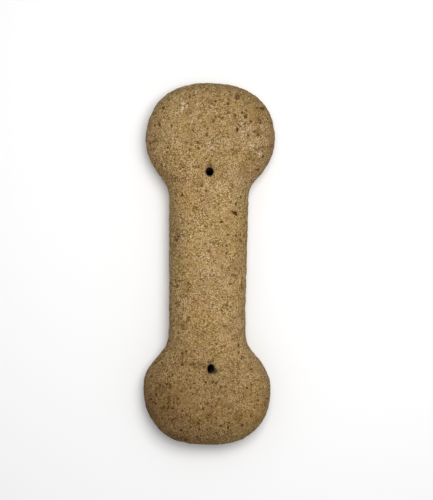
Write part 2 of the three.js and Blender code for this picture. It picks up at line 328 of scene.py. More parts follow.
# Spots scattered through the dough: the distance between them, the share of places that hold one, and
# their smallest and largest radius
FLOUR_SPOTS = {"spacing": 1.4 * MM, "share": 0.6, "smallest": 0.12 * MM, "largest": 0.3 * MM}
BRAN_SPOTS = {"spacing": 3.2 * MM, "share": 0.5, "smallest": 0.3 * MM, "largest": 0.8 * MM}
RUST_SPOTS = {"spacing": 4.5 * MM, "share": 0.7, "smallest": 0.8 * MM, "largest": 2.0 * MM}
# Pores: the share of places that hold one, on plain dough and where toasting and painted shade darken it
# most, and their smallest and largest radius
PORE_SHARES = (0.28, 0.38)
PORE_RADII = (0.32 * MM, 0.60 * MM)
# How the edges of spots wander: the size of the waves, and how far they go
PORE_EDGES = {"size": 0.6 * MM, "distance": 0.12 * MM}
BRAN_EDGES = {"size": 0.7 * MM, "distance": 0.4 * MM}
RUST_EDGES = {"size": 1.6 * MM, "distance": 1.1 * MM}
# The size of the grains of flour that cling together
FLOUR_GRAIN = 0.36 * MM

# The relief of lumps and grains fades in between these heights over the table, and this share of it is
# left on pressed dough
RELIEF_FADES_IN = (0.3 * MM, 1.5 * MM)
RELIEF_ON_PRESSED = 0.2
# How strongly the crust's tone follows its raised grains, its crumbs and the listed patches
GRAIN_SHADE = 0.12
CRUMB_SHADE = 1.65
PATCH_SHADE = 0.12
# The share of the crumbs' shades that isn't drawn in towards the middle
MIDDLING_SHARE = 0.2
# How much of the pale meal shows on plain dough and where toasting and painted shade darken it most
MEAL_KEPT = (0.9, 0.7)
# How much rougher the dark parts of the crust are, and how much smoother the light ones
ROUGHNESS_SWING = 0.06

# The stage, in metres
TABLE_SIZE = 6
WINDOW_PLACE = (0.046, 0.065, 0.29)
WINDOW_SIZE = 0.16
# Where the camera stands in plan, so that the biscuit lies a little to the left and low in the frame
CAMERA_OFFSET = (2.31 * MM, 4.24 * MM)
# The height of the camera's sensor, in millimetres as Blender has it
SENSOR_HEIGHT = 24


class BiscuitShape(bpy.types.PropertyGroup):
    """Sizes of the biscuit's body, of the relief baked into its crust and of its crumbs."""

    shaft_width: bpy.props.FloatProperty(
        name="Shaft width",
        description="Width of the straight shaft",
        default=0.0240,
        unit="LENGTH",
        subtype="DISTANCE",
    )
    knob_width: bpy.props.FloatProperty(
        name="Knob width",
        description="Width of the rounded knobs at both ends",
        default=0.0395,
        unit="LENGTH",
        subtype="DISTANCE",
    )
    dough_lump: bpy.props.FloatProperty(
        name="Dough lumps",
        description="Height of the dough's soft lumps",
        default=0.00016,
        unit="LENGTH",
        subtype="DISTANCE",
    )
    dough_lump_size: bpy.props.FloatProperty(
        name="Lump size",
        description="Distance between the dough's soft lumps",
        default=0.0022,
        unit="LENGTH",
        subtype="DISTANCE",
    )
    grain: bpy.props.FloatProperty(
        name="Grain",
        description="Height of the meal grains in the crust",
        default=0.00009,
        unit="LENGTH",
        subtype="DISTANCE",
    )
    grain_size: bpy.props.FloatProperty(
        name="Grain size",
        description="Distance between the meal grains",
        default=0.0009,
        unit="LENGTH",
        subtype="DISTANCE",
    )
    pore_depth: bpy.props.FloatProperty(
        name="Pore depth",
        description="Depth of the small round pores",
        default=0.00022,
        unit="LENGTH",
        subtype="DISTANCE",
    )
    pore_spacing: bpy.props.FloatProperty(
        name="Pore spacing",
        description="Distance between the small round pores",
        default=0.0013,
        unit="LENGTH",
        subtype="DISTANCE",
    )
    crumb_size: bpy.props.FloatProperty(
        name="Crumb size",
        description="Size of the crumbs, each of which has a shade of its own",
        default=0.00023,
        unit="LENGTH",
        subtype="DISTANCE",
    )


class CrustColours(bpy.types.PropertyGroup):
    """Colours of the baked crust, in linear values."""

    dough: bpy.props.FloatVectorProperty(
        name="Dough",
        description="Baked wheat dough",
        default=(0.3275, 0.2095, 0.0842),
        size=3,
        min=0,
        max=1,
        subtype="COLOR",
    )
    meal: bpy.props.FloatVectorProperty(
        name="Meal",
        description="Pale meal grains",
        default=(0.572, 0.429, 0.224),
        size=3,
        min=0,
        max=1,
        subtype="COLOR",
    )
    toasted: bpy.props.FloatVectorProperty(
        name="Toasted",
        description="Dough in the hollows between the grains",
        default=(0.134, 0.066, 0.012),
        size=3,
        min=0,
        max=1,
        subtype="COLOR",
    )
    # Painted shade inside the pores and pits; the flat dark specks take this colour too
    pore: bpy.props.FloatVectorProperty(
        name="Pore",
        description="Inside of a pore or pit",
        default=(0.089, 0.038, 0.002),
        size=3,
        min=0,
        max=1,
        subtype="COLOR",
    )
    # Painted shade on the torn dough by the holes
    torn: bpy.props.FloatVectorProperty(
        name="Torn dough",
        description="Dough torn and shaded beside a docking hole",
        default=(0.085, 0.054, 0.032),
        size=3,
        min=0,
        max=1,
        subtype="COLOR",
    )
    golden: bpy.props.FloatVectorProperty(
        name="Golden",
        description="What the dough keeps of its colour where it stayed golden",
        default=(1.0, 0.950, 0.840),
        size=3,
        min=0,
        max=1,
        subtype="COLOR",
    )
    rust: bpy.props.FloatVectorProperty(
        name="Rust",
        description="What the dough keeps of its colour in small rusty patches",
        default=(0.660, 0.560, 0.480),
        size=3,
        min=0,
        max=1,
        subtype="COLOR",
    )
    bran: bpy.props.FloatVectorProperty(
        name="Bran",
        description="Reddish-brown bran flecks",
        default=(0.105, 0.045, 0.011),
        size=3,
        min=0,
        max=1,
        subtype="COLOR",
    )
    flour: bpy.props.FloatVectorProperty(
        name="Flour",
        description="Dry flour left on the crust",
        default=(0.600, 0.470, 0.305),
        size=3,
        min=0,
        max=1,
        subtype="COLOR",
    )
    # Partly the pressed dough's own colour and partly painted shade in its dents
    pressed: bpy.props.FloatVectorProperty(
        name="Pressed dough",
        description="Dough pressed smooth by the docking pins",
        default=(0.270, 0.200, 0.120),
        size=3,
        min=0,
        max=1,
        subtype="COLOR",
    )
    # Painted shade, black deep inside the docking holes
    hole: bpy.props.FloatVectorProperty(
        name="Hole",
        description="Darkness deep inside a docking hole",
        default=(0.012, 0.007, 0.003),
        size=3,
        min=0,
        max=1,
        subtype="COLOR",
    )
    # Darkens for real toasting and also as painted shade where the light falls off, towards the knobs and
    # the lower left
    toasting_and_shade: bpy.props.FloatVectorProperty(
        name="Toasting",
        description="What the dough keeps of its colour where the oven browned it most",
        default=(0.560, 0.508, 0.474),
        size=3,
        min=0,
        max=1,
        subtype="COLOR",
    )
    # Painted shade on the rolled edge's lower slopes, which turn away from the light
    edge: bpy.props.FloatVectorProperty(
        name="Edge",
        description="What the dough keeps of its colour low down on the rolled edge",
        default=(0.800, 0.800, 0.820),
        size=3,
        min=0,
        max=1,
        subtype="COLOR",
    )
    roughness: bpy.props.FloatProperty(
        name="Roughness",
        description="Roughness of the dry crust",
        default=0.9,
        min=0,
        max=1,
        subtype="FACTOR",
    )


class StudioStage(bpy.types.PropertyGroup):
    """The table, the lights and the camera."""

    table: bpy.props.FloatVectorProperty(
        name="Table",
        description="Colour of the pale table",
        default=(0.94, 0.94, 0.94),
        size=3,
        min=0,
        max=1,
        subtype="COLOR",
    )
    window_power: bpy.props.FloatProperty(
        name="Window light",
        description="Power of the soft light from the upper right",
        default=0.63,
        min=0,
        unit="POWER",
    )
    sky_strength: bpy.props.FloatProperty(
        name="Room light",
        description="Strength of the even light of the room",
        default=0.50,
        min=0,
    )
    camera_height: bpy.props.FloatProperty(
        name="Camera height",
        description="Height of the camera over the table",
        default=0.5,
        unit="LENGTH",
        subtype="DISTANCE",
    )
    frame_height: bpy.props.FloatProperty(
        name="Frame height",
        description="What the picture's height covers at the biscuit's widest level",
        default=0.152,
        unit="LENGTH",
        subtype="DISTANCE",
    )
    widest_level: bpy.props.FloatProperty(
        name="Widest level",
        description="Height over the table at which the biscuit is widest",
        default=0.0056,
        unit="LENGTH",
        subtype="DISTANCE",
    )
    camera_turn: bpy.props.FloatProperty(
        name="Camera turn",
        description="Turn of the camera about the vertical, by which the bone leans in the picture",
        default=math.radians(0.7),
        unit="ROTATION",
        subtype="ANGLE",
    )


def deselect_all():
    if bpy.context.object and bpy.context.object.mode != "OBJECT":
        bpy.ops.object.mode_set(mode="OBJECT")
    bpy.ops.object.select_all(action="DESELECT")


def pick(piece, wanted):
    """In edit mode, selects just the corners that pass a test."""
    form = bmesh.from_edit_mesh(piece.data)
    for corner in form.verts:
        corner.select_set(False)
    form.select_flush(False)
    for corner in form.verts:
        if wanted(corner):
            corner.select_set(True)
    form.select_flush(True)
    bmesh.update_edit_mesh(piece.data)


def apply_modifier(piece, kind, **settings):
    """Adds a modifier, sets it and applies it."""
    modifier = piece.modifiers.new(kind.title(), kind)
    for name, value in settings.items():
        setattr(modifier, name, value)
    bpy.ops.object.modifier_apply(modifier=modifier.name)


def subdivide_smoothly(piece, levels):
    apply_modifier(piece, "SUBSURF", levels=levels, render_levels=levels)


def merged_copy(node):
    """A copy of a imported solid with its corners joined, to fit a skin on."""
    deselect_all()
    copy = node.copy()
    copy.data = node.data.copy()
    copy.name = "fitting_form"
    bpy.context.collection.objects.link(copy)
    bpy.context.view_layer.objects.active = copy
    copy.select_set(True)
    bpy.ops.object.mode_set(mode="EDIT")
    bpy.ops.mesh.select_all(action="SELECT")
    bpy.ops.mesh.remove_doubles(threshold=JOIN_DISTANCE)
    bpy.ops.object.mode_set(mode="OBJECT")
    return copy


def cut_across(place, normal):
    """In edit mode, cuts a loop through the whole piece."""
    bpy.ops.mesh.select_all(action="SELECT")
    bpy.ops.mesh.bisect(plane_co=place, plane_no=normal)


def model_cage(shape):
    """A low box, cut into sections and widened at both ends, is the bone's cage."""
    low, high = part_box(CAD_NODE)
    length, thickness = high.y - low.y, high.z - low.z
    deselect_all()
    bpy.ops.mesh.primitive_cube_add(
        size=1,
        location=(0, 0, thickness / 2),
        scale=(shape.shaft_width, length, thickness),
    )
    bpy.ops.object.transform_apply(location=True, rotation=False, scale=True)
    piece = bpy.context.object
    piece.name = "baked_biscuit"
    bpy.ops.object.mode_set(mode="EDIT")
    bpy.ops.mesh.select_mode(type="VERT")
    for column in range(1, CAGE_COLUMNS):
        x = shape.shaft_width * (column / CAGE_COLUMNS - 0.5)
        cut_across((x, 0, 0), (1, 0, 0))
    for layer in range(1, CAGE_LAYERS):
        cut_across((0, 0, thickness * layer / CAGE_LAYERS), (0, 0, 1))
    for share, _ in CAGE_SECTIONS[:-1]:
        y = share * length / 2
        for section in sorted({-y, y}):
            cut_across((0, section, 0), (0, 1, 0))
    for share, widening in CAGE_SECTIONS:
        y = share * length / 2
        wider = 1 + widening * (shape.knob_width / shape.shaft_width - 1)
        pick(piece, lambda corner, y=y: abs(abs(corner.co.y) - y) < IN_PLANE)
        bpy.ops.transform.resize(value=(wider, 1, 1), center_override=(0, 0, 0))
    bpy.ops.object.mode_set(mode="OBJECT")
    return piece


def fit_to(piece, form):
    apply_modifier(piece, "SHRINKWRAP", target=form, wrap_method="NEAREST_SURFACEPOINT")


def even_out(piece):
    """Relaxes the mesh, so that its faces become even."""
    bpy.ops.object.mode_set(mode="EDIT")
    bpy.ops.mesh.select_all(action="SELECT")
    bpy.ops.mesh.vertices_smooth(factor=RELAX_SHARE, repeat=RELAX_TIMES)
    bpy.ops.object.mode_set(mode="OBJECT")


def nearest_corner(piece, place, up):
    """The corner nearest a place in plan, on the crust (up 1) or on the underside (up -1)."""
    facing = [v for v in piece.data.vertices if v.normal.z * up > FACING]
    return min(facing, key=lambda v: (v.co.xy - Vector(place)).length).index


def open_rim(piece, place, radius, stretch, up):
    """Opens the skin at a place, on the crust or the underside, and makes the rim round and to size."""
    index = nearest_corner(piece, place, up)
    bpy.ops.object.mode_set(mode="EDIT")
    pick(piece, lambda corner: corner.index == index)
    bpy.ops.mesh.delete(type="VERT")
    pick(
        piece,
        lambda corner: corner.is_boundary
        and (corner.co.xy - Vector(place)).length < RIM_REACH
        and corner.normal.z * up > 0,
    )
    bpy.ops.transform.tosphere(value=1)
    form = bmesh.from_edit_mesh(piece.data)
    rim = [corner.co.copy() for corner in form.verts if corner.select]
    centre = sum(rim, Vector()) / len(rim)
    was = sum((corner - centre).length for corner in rim) / len(rim)
    bpy.ops.transform.resize(
        value=(radius / was, stretch * radius / was, 1), center_override=centre
    )
    bpy.ops.transform.translate(value=(place[0] - centre.x, place[1] - centre.y, 0))
    bpy.ops.object.mode_set(mode="OBJECT")


def open_docking_hole(piece, hole):
    """Opens the skin over and under a docking hole and joins both rims by a wall."""
    x, y, lean_x, lean_y, radius, radius_below, stretch = hole
    top = (x * MM, y * MM)
    below = ((x + lean_x) * MM, (y + lean_y) * MM)
    open_rim(piece, top, radius / RIM_SHRINKS * MM, stretch, up=1)
    open_rim(piece, below, radius_below / RIM_SHRINKS * MM, stretch, up=-1)
    reach = RIM_REACH + math.hypot(lean_x, lean_y) * MM
    bpy.ops.object.mode_set(mode="EDIT")
    pick(
        piece,
        lambda corner: corner.is_boundary and (corner.co.xy - Vector(top)).length < reach,
    )
    bpy.ops.mesh.bridge_edge_loops(number_cuts=HOLE_CUTS)
    bpy.ops.object.mode_set(mode="OBJECT")


def add_node(tree, kind, inputs=None, **settings):
    """Adds a node, sets it, and fills or links its inputs."""
    node = tree.nodes.new(kind)
    for name, value in settings.items():
        setattr(node, name, value)
    for name, value in (inputs or {}).items():
        socket = node.inputs[name]
        if isinstance(value, bpy.types.NodeSocket):
            tree.links.new(value, socket)
        else:
            socket.default_value = value
    return node


def maths(tree, operation, value, *others):
    """Applies an operation to a value, or chains it over several."""
    for other in others or (0.0,):
        node = add_node(tree, "ShaderNodeMath", {0: value, 1: other}, operation=operation)
        value = node.outputs[0]
    return value


def vector_maths(tree, operation, first, second):
    node = add_node(
        tree, "ShaderNodeVectorMath", {0: first, 1: second}, operation=operation
    )
    return node.outputs["Value" if operation == "LENGTH" else "Vector"]


def scaled(tree, vector, factor):
    node = add_node(
        tree, "ShaderNodeVectorMath", {0: vector, "Scale": factor}, operation="SCALE"
    )
    return node.outputs["Vector"]


def taken_apart(tree, vector):
    """The three values of a vector, as outputs X, Y and Z."""
    return add_node(tree, "ShaderNodeSeparateXYZ", {0: vector}).outputs


def fade(tree, value, first, last, start=0.0, end=1.0):
    """Goes smoothly from start to end, as the value goes from first to last."""
    node = add_node(
        tree,
        "ShaderNodeMapRange",
        {0: value, 1: first, 2: last, 3: start, 4: end},
        interpolation_type="SMOOTHSTEP",
    )
    return node.outputs[0]


def ramp(tree, value, first, last, start=0.0, end=1.0):
    """Goes straight from start to end, as the value goes from first to last."""
    node = add_node(
        tree, "ShaderNodeMapRange", {0: value, 1: first, 2: last, 3: start, 4: end}
    )
    return node.outputs[0]


def noise(tree, place, size, seed, detail=2.0, roughness=0.5):
    """Soft noise around 0.5, with lumps the given distance apart."""
    node = add_node(
        tree,
        "ShaderNodeTexNoise",
        {"Vector": place, "W": seed, "Scale": 1 / size, "Detail": detail, "Roughness": roughness},
        noise_dimensions="4D",
    )
    return node.outputs["Fac"]


def wandering(tree, place, size, distance):
    """A place that wanders by up to a distance, in waves of a size, to make round shapes ragged."""
    node = add_node(
        tree, "ShaderNodeTexNoise", {"Vector": place, "Scale": 1 / size, "Detail": 1.0}
    )
    centred = vector_maths(tree, "SUBTRACT", node.outputs["Color"], (0.5, 0.5, 0.5))
    return vector_maths(tree, "ADD", place, scaled(tree, centred, 2 * distance))


def summed(tree, *parts):
    """Adds up values that lie around 0.5, each with its weight; the sum lies around 0.5 too."""
    total = 0.5
    for value, weight in parts:
        part = maths(tree, "MULTIPLY", maths(tree, "SUBTRACT", value, 0.5), weight)
        total = maths(tree, "ADD", part, total)
    return total


def crumbs(tree, place, size):
    """Three random values for each crumb; the crumbs are ragged cells of about one size."""
    ragged = wandering(tree, place, size, CRUMB_RAGGEDNESS * size)
    cells = add_node(tree, "ShaderNodeTexVoronoi", {"Vector": ragged, "Scale": 1 / size})
    return taken_apart(tree, cells.outputs["Color"])


def spots(tree, place, spacing, share, smallest, largest):
    """Round spots scattered through the dough, some fainter than others: up to 1 in a spot's middle and
    0 outside. Share is how many of the cells, each about one spacing wide, hold one."""
    cells = add_node(tree, "ShaderNodeTexVoronoi", {"Vector": place, "Scale": 1 / spacing})
    chance, width, force = list(taken_apart(tree, cells.outputs["Color"]))
    size = ramp(tree, width, 0, 1, smallest / spacing, largest / spacing)
    nearness = maths(tree, "DIVIDE", cells.outputs["Distance"], size)
    inside = fade(tree, nearness, SPOT_CORE, 1.0, start=1.0, end=0.0)
    chosen = maths(tree, "LESS_THAN", chance, share)
    strength = ramp(tree, force, 0, 1, FAINTEST_SPOT, 1.0)
    return maths(tree, "MULTIPLY", inside, chosen, strength)


def marks(tree, place, listed, wander, core=0.5):
    """Ragged marks at listed places on the crust: their strength in their core, which is a share of
    their radius, and 0 outside."""
    plan = vector_maths(tree, "MULTIPLY", place, (1, 1, 0))
    ragged = wandering(tree, plan, EDGE_WAVES * wander, wander)
    strengths = []
    for x, y, across, along, strength in listed:
        apart = vector_maths(tree, "SUBTRACT", ragged, (x * MM, y * MM, 0))
        shrunk = vector_maths(tree, "DIVIDE", apart, (across * MM, along * MM, 1))
        flat = vector_maths(tree, "MULTIPLY", shrunk, (1, 1, 0))
        off_centre = vector_maths(tree, "LENGTH", flat, (0, 0, 0))
        strengths.append(fade(tree, off_centre, core, MARK_RIM, start=strength, end=0.0))
    on_top = maths(tree, "GREATER_THAN", taken_apart(tree, place)["Z"], UPPER_SIDE)
    return maths(tree, "MULTIPLY", maths(tree, "MAXIMUM", *strengths), on_top)


def browning_and_shade(tree, place):
    """How strongly a place is darkened, partly real toasting and partly painted shade where the light falls
    off: the knobs more than the shaft, and the lower left most.
    """
    parts = taken_apart(tree, place)
    lower = ramp(tree, parts["Y"], first=-16 * MM, last=-42 * MM)
    left = ramp(tree, parts["X"], first=12 * MM, last=-10 * MM, start=0.36, end=1.0)
    upper = ramp(tree, parts["Y"], first=20 * MM, last=38 * MM, start=0.0, end=0.2)
    right = ramp(tree, parts["X"], first=6 * MM, last=18 * MM, start=1.0, end=1.6)
    return maths(
        tree,
        "ADD",
        maths(tree, "MULTIPLY", lower, left),
        maths(tree, "MULTIPLY", upper, right),
    )


def painted_edge_shade(tree, place):
    """Where shade is painted: 1 low down on the rolled edge and 0 on the crown, with a little more beside
    the shaft's left.
    """
    parts = taken_apart(tree, place)
    low = ramp(tree, parts["Z"], first=13.8 * MM, last=8 * MM)
    left = ramp(tree, parts["X"], first=-7 * MM, last=-12 * MM, start=0.0, end=0.55)
    from_middle = maths(tree, "ABSOLUTE", parts["Y"])
    on_shaft = fade(tree, from_middle, first=20 * MM, last=30 * MM, start=1.0, end=0.0)
    return maths(tree, "ADD", low, maths(tree, "MULTIPLY", left, on_shaft))


def grains(tree, place, shape):
    return noise(tree, place, shape.grain_size, **MEAL_GRAINS)


def fine_pores(tree, place, shape):
    """Small round pores, of which dough darkened by toasting and painted shade has more."""
    ragged = wandering(tree, place, **PORE_EDGES)
    share = ramp(tree, browning_and_shade(tree, place), 0.0, 1.0, *PORE_SHARES)
    return spots(tree, ragged, shape.pore_spacing, share, *PORE_RADII)


def pits(tree, place):
    return marks(tree, place, PITS, wander=0.22 * MM)


def torn(tree, place):
    return marks(tree, place, TORN_PLACES, wander=0.2 * MM)


def pressed(tree, place):
    return marks(tree, place, PRESSED_PLACES, wander=0.3 * MM)


def painted_hole_shade(tree, place, top):
    """Where shade is painted in a docking hole: 1 deep inside, and 0 at its rim and outside."""
    height = taken_apart(tree, place)["Z"]
    down = ramp(tree, height, first=top, last=0.0)
    deep = fade(tree, height, first=top - HOLE_SHADE_FULL, last=top - HOLE_SHADE_STARTS, start=1.0, end=0.0)
    inside = []
    for x, y, lean_x, lean_y, radius, radius_below, stretch in DOCKING_HOLES:
        lean = scaled(tree, (lean_x * MM, lean_y * MM, 0), down)
        axis = vector_maths(tree, "ADD", lean, (x * MM, y * MM, 0))
        apart = vector_maths(tree, "SUBTRACT", place, axis)
        flat = vector_maths(tree, "MULTIPLY", apart, (1, 1 / stretch, 0))
        off_axis = vector_maths(tree, "LENGTH", flat, (0, 0, 0))
        wall = ramp(tree, down, 0, 1, radius * MM, radius_below * MM)
        nearness = maths(tree, "DIVIDE", off_axis, wall)
        inside.append(fade(tree, nearness, *HOLE_DARK_ENDS, start=1.0, end=0.0))
    return maths(tree, "MULTIPLY", maths(tree, "MAXIMUM", *inside), deep)


def raised_dough(tree, place, shape):
    """How far soft lumps and meal grains lift the skin, or lower it."""
    lumps = noise(tree, place, shape.dough_lump_size, **DOUGH_LUMPS)
    lifts = []
    for pattern, lift in ((lumps, shape.dough_lump), (grains(tree, place, shape), shape.grain)):
        centred = maths(tree, "SUBTRACT", pattern, 0.5)
        lifts.append(maths(tree, "MULTIPLY", centred, lift / NOISE_SWING))
    return maths(tree, "ADD", *lifts)


def sunken_dough(tree, place, shape, smooth):
    """How deep the pores, the pits, the torn dough and the pins' dents go into the skin."""
    pore = maths(tree, "MULTIPLY", fine_pores(tree, place, shape), shape.pore_depth)
    deepest = maths(tree, "MAXIMUM", pits(tree, place), torn(tree, place))
    pit = maths(tree, "MULTIPLY", deepest, MM)
    dent = maths(tree, "MULTIPLY", smooth, PRESSED_DEPTH * MM)
    return maths(tree, "MAXIMUM", pore, pit, dent)


def bake_relief(piece, shape):
    """Geometry nodes lift the grains and lumps off the skin, and sink the pores and pits into it."""
    tree = bpy.data.node_groups.new("Crust relief", "GeometryNodeTree")
    tree.interface.new_socket("Geometry", in_out="INPUT", socket_type="NodeSocketGeometry")
    tree.interface.new_socket("Geometry", in_out="OUTPUT", socket_type="NodeSocketGeometry")
    entry = tree.nodes.new("NodeGroupInput").outputs[0]
    place = tree.nodes.new("GeometryNodeInputPosition").outputs[0]
    normal = tree.nodes.new("GeometryNodeInputNormal").outputs[0]
    smooth = pressed(tree, place)
    off_table = fade(tree, taken_apart(tree, place)["Z"], *RELIEF_FADES_IN)
    unpressed = ramp(tree, smooth, 0, 1, 1.0, RELIEF_ON_PRESSED)
    free = maths(tree, "MULTIPLY", off_table, unpressed)
    raised = maths(tree, "MULTIPLY", raised_dough(tree, place, shape), free)
    lift = maths(tree, "SUBTRACT", raised, sunken_dough(tree, place, shape, smooth))
    shift = scaled(tree, normal, lift)
    moved = add_node(tree, "GeometryNodeSetPosition", {"Geometry": entry, "Offset": shift})
    add_node(tree, "NodeGroupOutput", {0: moved.outputs[0]})
    apply_modifier(piece, "NODES", node_group=tree)


def opaque(colour):
    return (*colour, 1)


def mixed(tree, share, first, second, blend="MIX"):
    node = add_node(
        tree,
        "ShaderNodeMix",
        {0: share, 6: first, 7: second},
        data_type="RGBA",
        blend_type=blend,
    )
    return node.outputs[2]


def mostly_middling(tree, value, reach):
    """Draws most random values in towards 0.5; the outermost lie the reach times as far out as before."""
    off = maths(tree, "SUBTRACT", value, 0.5)
    cubed = maths(tree, "ADD", maths(tree, "POWER", off, 3.0), 0.5)
    outermost = 4 * (1 - MIDDLING_SHARE)
    return summed(tree, (value, MIDDLING_SHARE * reach), (cubed, outermost * reach))


def crumb_contrast(tree, place):
    """How much the crumbs' shades differ: in patches, more where the edge's shade is painted and to the
    left, which stands in for the relief's shading there, and less low on the wall.
    """
    parts = taken_apart(tree, place)
    return maths(
        tree,
        "MULTIPLY",
        ramp(tree, noise(tree, place, **CONTRAST_PATCHES), 0.35, 0.65, start=0.4, end=1.7),
        ramp(tree, painted_edge_shade(tree, place), 0.0, 0.9, start=0.95, end=1.3),
        fade(tree, parts["Z"], first=3 * MM, last=9 * MM, start=0.65, end=1.0),
        ramp(tree, parts["X"], first=12 * MM, last=-20 * MM, start=0.93, end=1.45),
    )


def crust_tone(tree, place, shape, fine):
    """Lightness around 0.5: clouds in the dough, its raised grains, crumbs with a shade each, and the
    listed patches."""
    tone = summed(
        tree,
        (noise(tree, place, **DOUGH_CLOUDS), 1.0),
        (grains(tree, place, shape), GRAIN_SHADE),
        (mostly_middling(tree, fine[0], CRUMB_SHADE), crumb_contrast(tree, place)),
    )
    pale = marks(tree, place, PALE_PATCHES, wander=1.0 * MM, core=0.0)
    # The darker patches are partly browned dough and partly painted shade on the knobs' flanks and ends
    browned = marks(tree, place, BROWNED_AND_SHADED_PATCHES, wander=1.0 * MM, core=0.0)
    patches = maths(tree, "MULTIPLY", maths(tree, "SUBTRACT", pale, browned), PATCH_SHADE)
    return maths(tree, "ADD", tone, patches)


def tinted(tree, place, fine, colour):
    """Patches of the dough drift towards gold or towards mauve, and each crumb has a little tint."""
    mauve = noise(tree, place, **MAUVE_DRIFT)
    blue = noise(tree, place, **BLUE_DRIFT)
    more_red = summed(tree, (mauve, 0.35), (fine[1], 0.08))
    more_blue = summed(tree, (mauve, 0.7), (fine[1], 0.15), (fine[2], 0.1), (blue, 0.7))
    more_red = maths(tree, "ADD", more_red, 0.5)
    more_blue = maths(tree, "ADD", more_blue, 0.5)
    tint = add_node(tree, "ShaderNodeCombineXYZ", {0: more_red, 1: 1.0, 2: more_blue})
    return vector_maths(tree, "MULTIPLY", colour, tint.outputs[0])


def meal_in_dough(tree, place, tone, fine, colours):
    """Toasted hollows, dough and pale meal by their tone, with less of the meal where toasting and painted
    shade darken the crust.
    """
    out_of_hollows = ramp(tree, tone, 0.0, 0.5)
    colour = mixed(tree, out_of_hollows, opaque(colours.toasted), opaque(colours.dough))
    kept = ramp(tree, browning_and_shade(tree, place), 0.0, 1.0, *MEAL_KEPT)
    meal = maths(tree, "MULTIPLY", ramp(tree, tone, 0.5, 1.0), kept)
    colour = mixed(tree, meal, colour, opaque(colours.meal))
    return tinted(tree, place, fine, colour)


def dry_flour(tree, place, fine):
    """Flour that clings to single crumbs: thinly all over, and thickly at the listed places."""
    dusted = fade(tree, noise(tree, place, **FLOUR_DUST), first=0.5, last=0.8, end=0.5)
    listed = marks(tree, place, FLOUR_MARKS, wander=0.3 * MM)
    covered = maths(tree, "MAXIMUM", dusted, listed)
    grain = crumbs(tree, place, FLOUR_GRAIN)
    clinging = summed(tree, (covered, 0.85), (grain[0], 0.45), (fine[0], 0.6))
    crumb = fade(tree, clinging, first=0.52, last=0.86)
    single = spots(tree, place, **FLOUR_SPOTS)
    return maths(tree, "MAXIMUM", crumb, maths(tree, "MULTIPLY", single, 0.8))


def weaker_on_meal(tree, strength, tone, kept):
    """Lets a mark's strength fall to a share where the crust is pale."""
    return maths(tree, "MULTIPLY", strength, ramp(tree, tone, 0.35, 0.65, start=1.0, end=kept))


def rusty_patches(tree, place, tone):
    ragged = wandering(tree, place, **RUST_EDGES)
    return weaker_on_meal(tree, spots(tree, ragged, **RUST_SPOTS), tone, 0.8)


def bran_flecks(tree, place, tone):
    ragged = wandering(tree, place, **BRAN_EDGES)
    scattered = spots(tree, ragged, **BRAN_SPOTS)
    listed = marks(tree, place, BRAN_FLECKS, wander=0.45 * MM)
    return weaker_on_meal(tree, maths(tree, "MAXIMUM", scattered, listed), tone, 0.7)


def shaded_pores_and_specks(tree, place, shape, fine):
    """Painted shade in the pores and the pits, and the listed dark specks in the same colour, which are
    broken up by the crumbs.
    """
    grown = [
        (x, y, across * SPECK_GROWTH, along * SPECK_GROWTH, strength)
        for x, y, across, along, strength in DARK_SPECKS
    ]
    listed = marks(tree, place, grown, wander=0.15 * MM)
    broken = ramp(tree, fine[0], 0.2, 0.9, start=1.0, end=0.4)
    listed = maths(tree, "MULTIPLY", listed, broken)
    specks = maths(tree, "MAXIMUM", fine_pores(tree, place, shape), listed)
    pitted = fade(tree, pits(tree, place), 0.0, 0.4)
    return maths(tree, "MAXIMUM", maths(tree, "MULTIPLY", specks, SPECK_STRENGTH), pitted)


